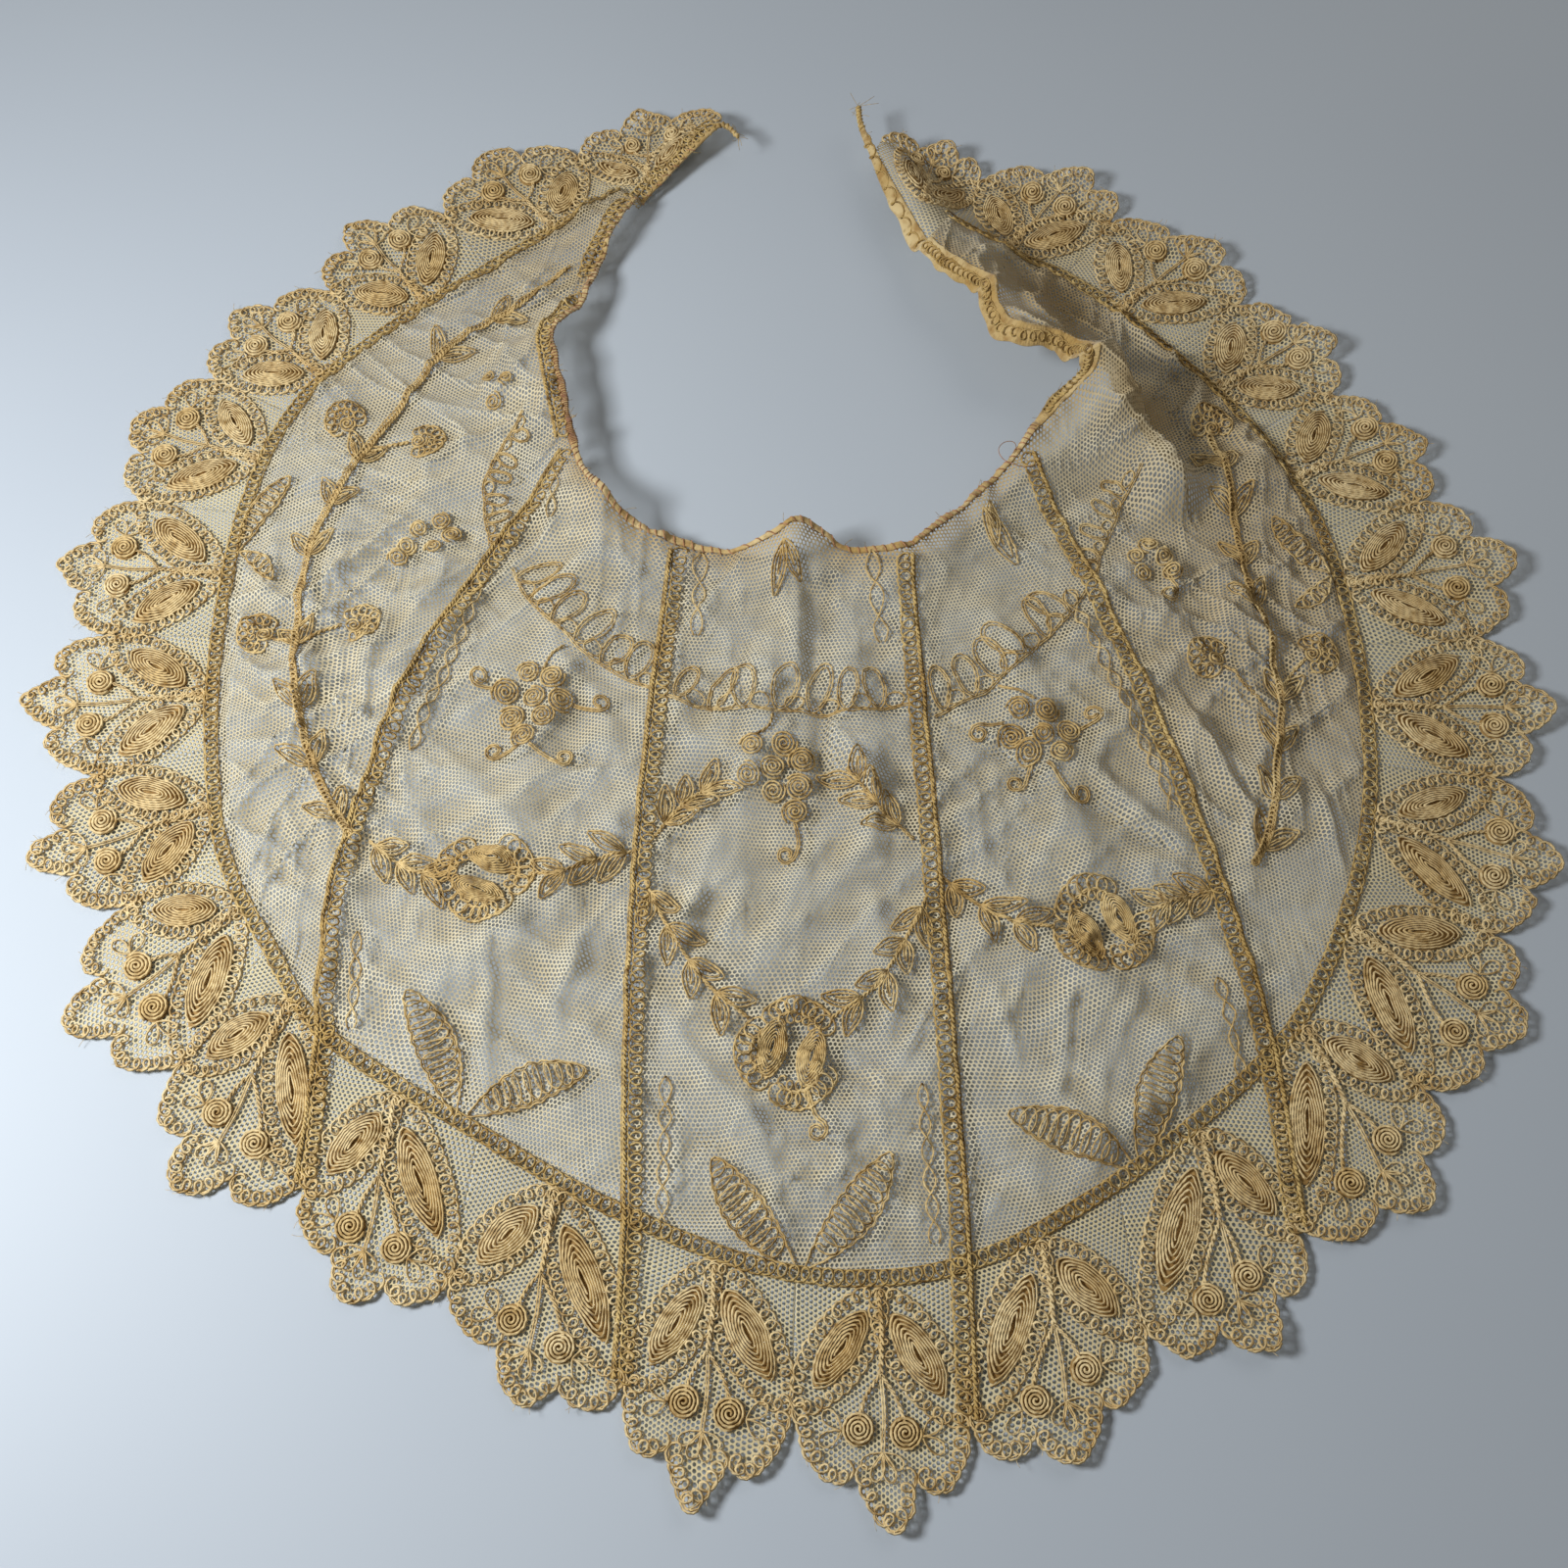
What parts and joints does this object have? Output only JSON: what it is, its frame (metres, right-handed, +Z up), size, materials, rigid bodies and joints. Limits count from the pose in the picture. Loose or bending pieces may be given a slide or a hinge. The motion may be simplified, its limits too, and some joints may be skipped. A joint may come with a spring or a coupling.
{
  "type": "lace cape collar",
  "caption": "Deep rounded cape collar of embroidered net laid flat, with a scalloped looped-cord border, radial seams and a bound neck that opens at the front.",
  "frame": {"origin": "under the middle of the outline, on the surface that the collar lies on", "axes": "+Z up from that surface, +Y towards the two front ends where the neck opens, +X to the right when the collar is seen from above with its ends away from the viewer"},
  "size_m": [0.4286, 0.4246, 0.0277],
  "materials": {
    "net": "fine hexagonal cotton net, aged cream",
    "border": "net covered with looped and wound ecru thread",
    "cord": "looped ecru cord, matt",
    "binding": "folded net tape with worn rose-brown stitching"
  },
  "bodies": {
    "root": {"net_panel_outer_left": "net", "net_panel_inner_left": "net", "net_panel_center": "net", "net_panel_inner_right": "net", "net_panel_outer_right": "net", "line_cord_outer_left": "cord", "line_cord_inner_left": "cord", "line_cord_center": "cord", "line_cord_inner_right": "cord", "line_cord_outer_right": "cord", "seam_cord_1": "cord", "seam_cord_2": "cord", "seam_cord_3": "cord", "seam_cord_4": "cord", "border_scallop_01": "border", "border_scallop_02": "border", "border_scallop_03": "border", "border_scallop_04": "border", "border_scallop_05": "border", "border_scallop_06": "border", "border_scallop_07": "border", "border_scallop_08": "border", "border_scallop_09": "border", "border_scallop_10": "border", "border_scallop_11": "border", "border_scallop_12": "border", "border_scallop_13": "border", "border_scallop_14": "border", "border_scallop_15": "border", "border_scallop_16": "border", "border_scallop_17": "border", "border_scallop_18": "border", "border_scallop_19": "border", "border_scallop_20": "border", "border_scallop_21": "border", "border_scallop_22": "border", "border_scallop_23": "border", "border_scallop_24": "border", "border_scallop_25": "border", "border_scallop_26": "border", "neck_binding": "binding"}
  },
  "joints": []
}
